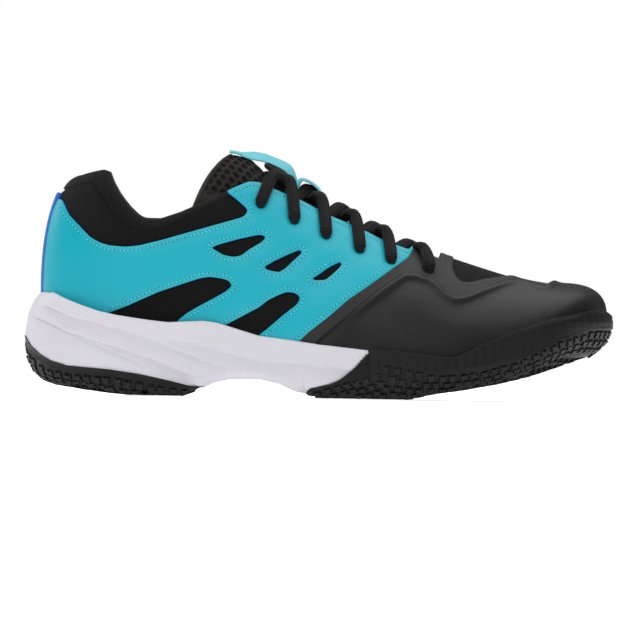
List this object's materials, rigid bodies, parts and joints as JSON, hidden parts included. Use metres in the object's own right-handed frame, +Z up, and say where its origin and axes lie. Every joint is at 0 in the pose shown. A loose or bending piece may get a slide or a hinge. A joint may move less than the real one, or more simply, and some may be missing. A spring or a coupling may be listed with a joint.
{
  "type": "court shoe",
  "caption": "Low-cut lace-up court shoe for racket sports: padded collar, mesh upper with cut-out overlays, cupped midsole, wrapped rubber outsole",
  "frame": {"origin": "on the ground under the middle of the shoe's bounding box", "axes": "+X to the toe, +Y to the inner (medial) side of this right shoe, +Z up"},
  "size_m": [0.295, 0.1101, 0.1243],
  "materials": {
    "rubber_black": "matte ribbed rubber",
    "midsole_white": "moulded foam with a fine woven texture",
    "shank_grey": "moulded",
    "gel_blue": "soft gel",
    "board": "non-woven board",
    "mesh_black": "knitted mesh",
    "film_dark": "textured film",
    "toe_film": "smooth moulded film",
    "stiffener": "thermoformed sheet",
    "leather_cyan": "smooth coated synthetic leather",
    "leather_blue": "smooth coated synthetic leather",
    "padding": "open-cell foam",
    "lining_black": "knitted lining",
    "lace_black": "woven oval lace",
    "aglet_black": "wrapped film",
    "tongue_mesh": "open hexagonal spacer mesh",
    "webbing_cyan": "woven webbing",
    "insole_foam": "moulded foam",
    "insole_cloth": "brushed knit"
  },
  "bodies": {
    "shoe": {"outsole_forefoot": "rubber_black", "outsole_heel": "rubber_black", "midsole": "midsole_white", "shank_plate": "shank_grey", "heel_cushion": "gel_blue", "forefoot_cushion": "gel_blue", "lasting_board": "board", "vamp_mesh": "mesh_black", "quarter_mesh_lateral": "mesh_black", "quarter_mesh_medial": "mesh_black", "vamp_film": "film_dark", "toe_overlay": "toe_film", "toe_puff": "stiffener", "quarter_overlay_lateral": "leather_cyan", "quarter_overlay_medial": "leather_cyan", "heel_strip": "leather_blue", "heel_counter": "stiffener", "collar_foam": "padding", "collar_lining": "lining_black", "vamp_lining": "lining_black", "eyestay_backing_lateral": "mesh_black", "eyestay_backing_medial": "mesh_black", "lace": "lace_black", "lace_end_lateral": "lace_black", "lace_end_medial": "lace_black", "aglet_lateral": "aglet_black", "aglet_medial": "aglet_black"},
    "tongue": {"tongue_face": "tongue_mesh", "tongue_foam": "padding", "tongue_lining": "lining_black", "lace_keeper": "webbing_cyan"},
    "insole": {"insole": "insole_foam", "insole_cloth": "insole_cloth"}
  },
  "joints": [
    {"name": "tongue_lift", "type": "hinge", "parent": "shoe", "child": "tongue", "pos_m": [0.058, 0, 0.066], "axis": [0, 1, 0], "range_deg": [0, 12], "deforming": ["lace"]},
    {"name": "insole_lift", "type": "hinge", "parent": "shoe", "child": "insole", "pos_m": [0.134, 0, 0.04], "axis": [0, 1, 0], "range_deg": [0, 3], "deforming": ["lace_end_lateral", "lace_end_medial", "aglet_lateral", "aglet_medial"]}
  ]
}
